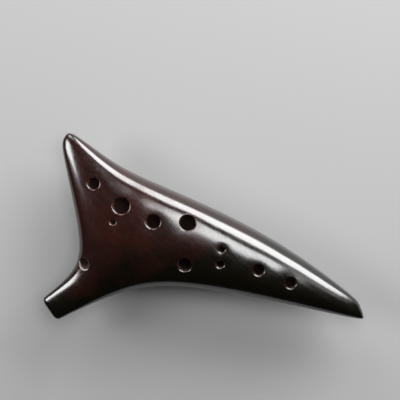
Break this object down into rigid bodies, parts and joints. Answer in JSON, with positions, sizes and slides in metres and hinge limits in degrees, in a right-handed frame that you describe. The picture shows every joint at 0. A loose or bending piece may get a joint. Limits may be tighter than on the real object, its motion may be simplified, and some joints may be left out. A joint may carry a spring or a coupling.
{
  "type": "ocarina",
  "caption": "Horn-shaped transverse clay ocarina with finger holes on its face, thumb holes and window underneath, and a side mouthpiece with a strap hole.",
  "frame": {"origin": "under the middle of the bounding box, on the surface that the belly lies on", "axes": "+X along the body from the head tip to the tail tip, -Y towards the player's lips, +Z out of the finger-hole face"},
  "size_m": [0.1892, 0.1022, 0.0425],
  "materials": {
    "body_clay": "burnished, satin gloss, dark burgundy brown",
    "mouthpiece_clay": "burnished, satin gloss, dark burgundy brown",
    "labium_clay": "cut with a knife and left unpolished, dark brown"
  },
  "bodies": {
    "root": {"upper_shell": "body_clay", "lower_shell": "body_clay", "mouthpiece_roof": "mouthpiece_clay", "mouthpiece_floor": "mouthpiece_clay", "labium": "labium_clay"}
  },
  "joints": []
}
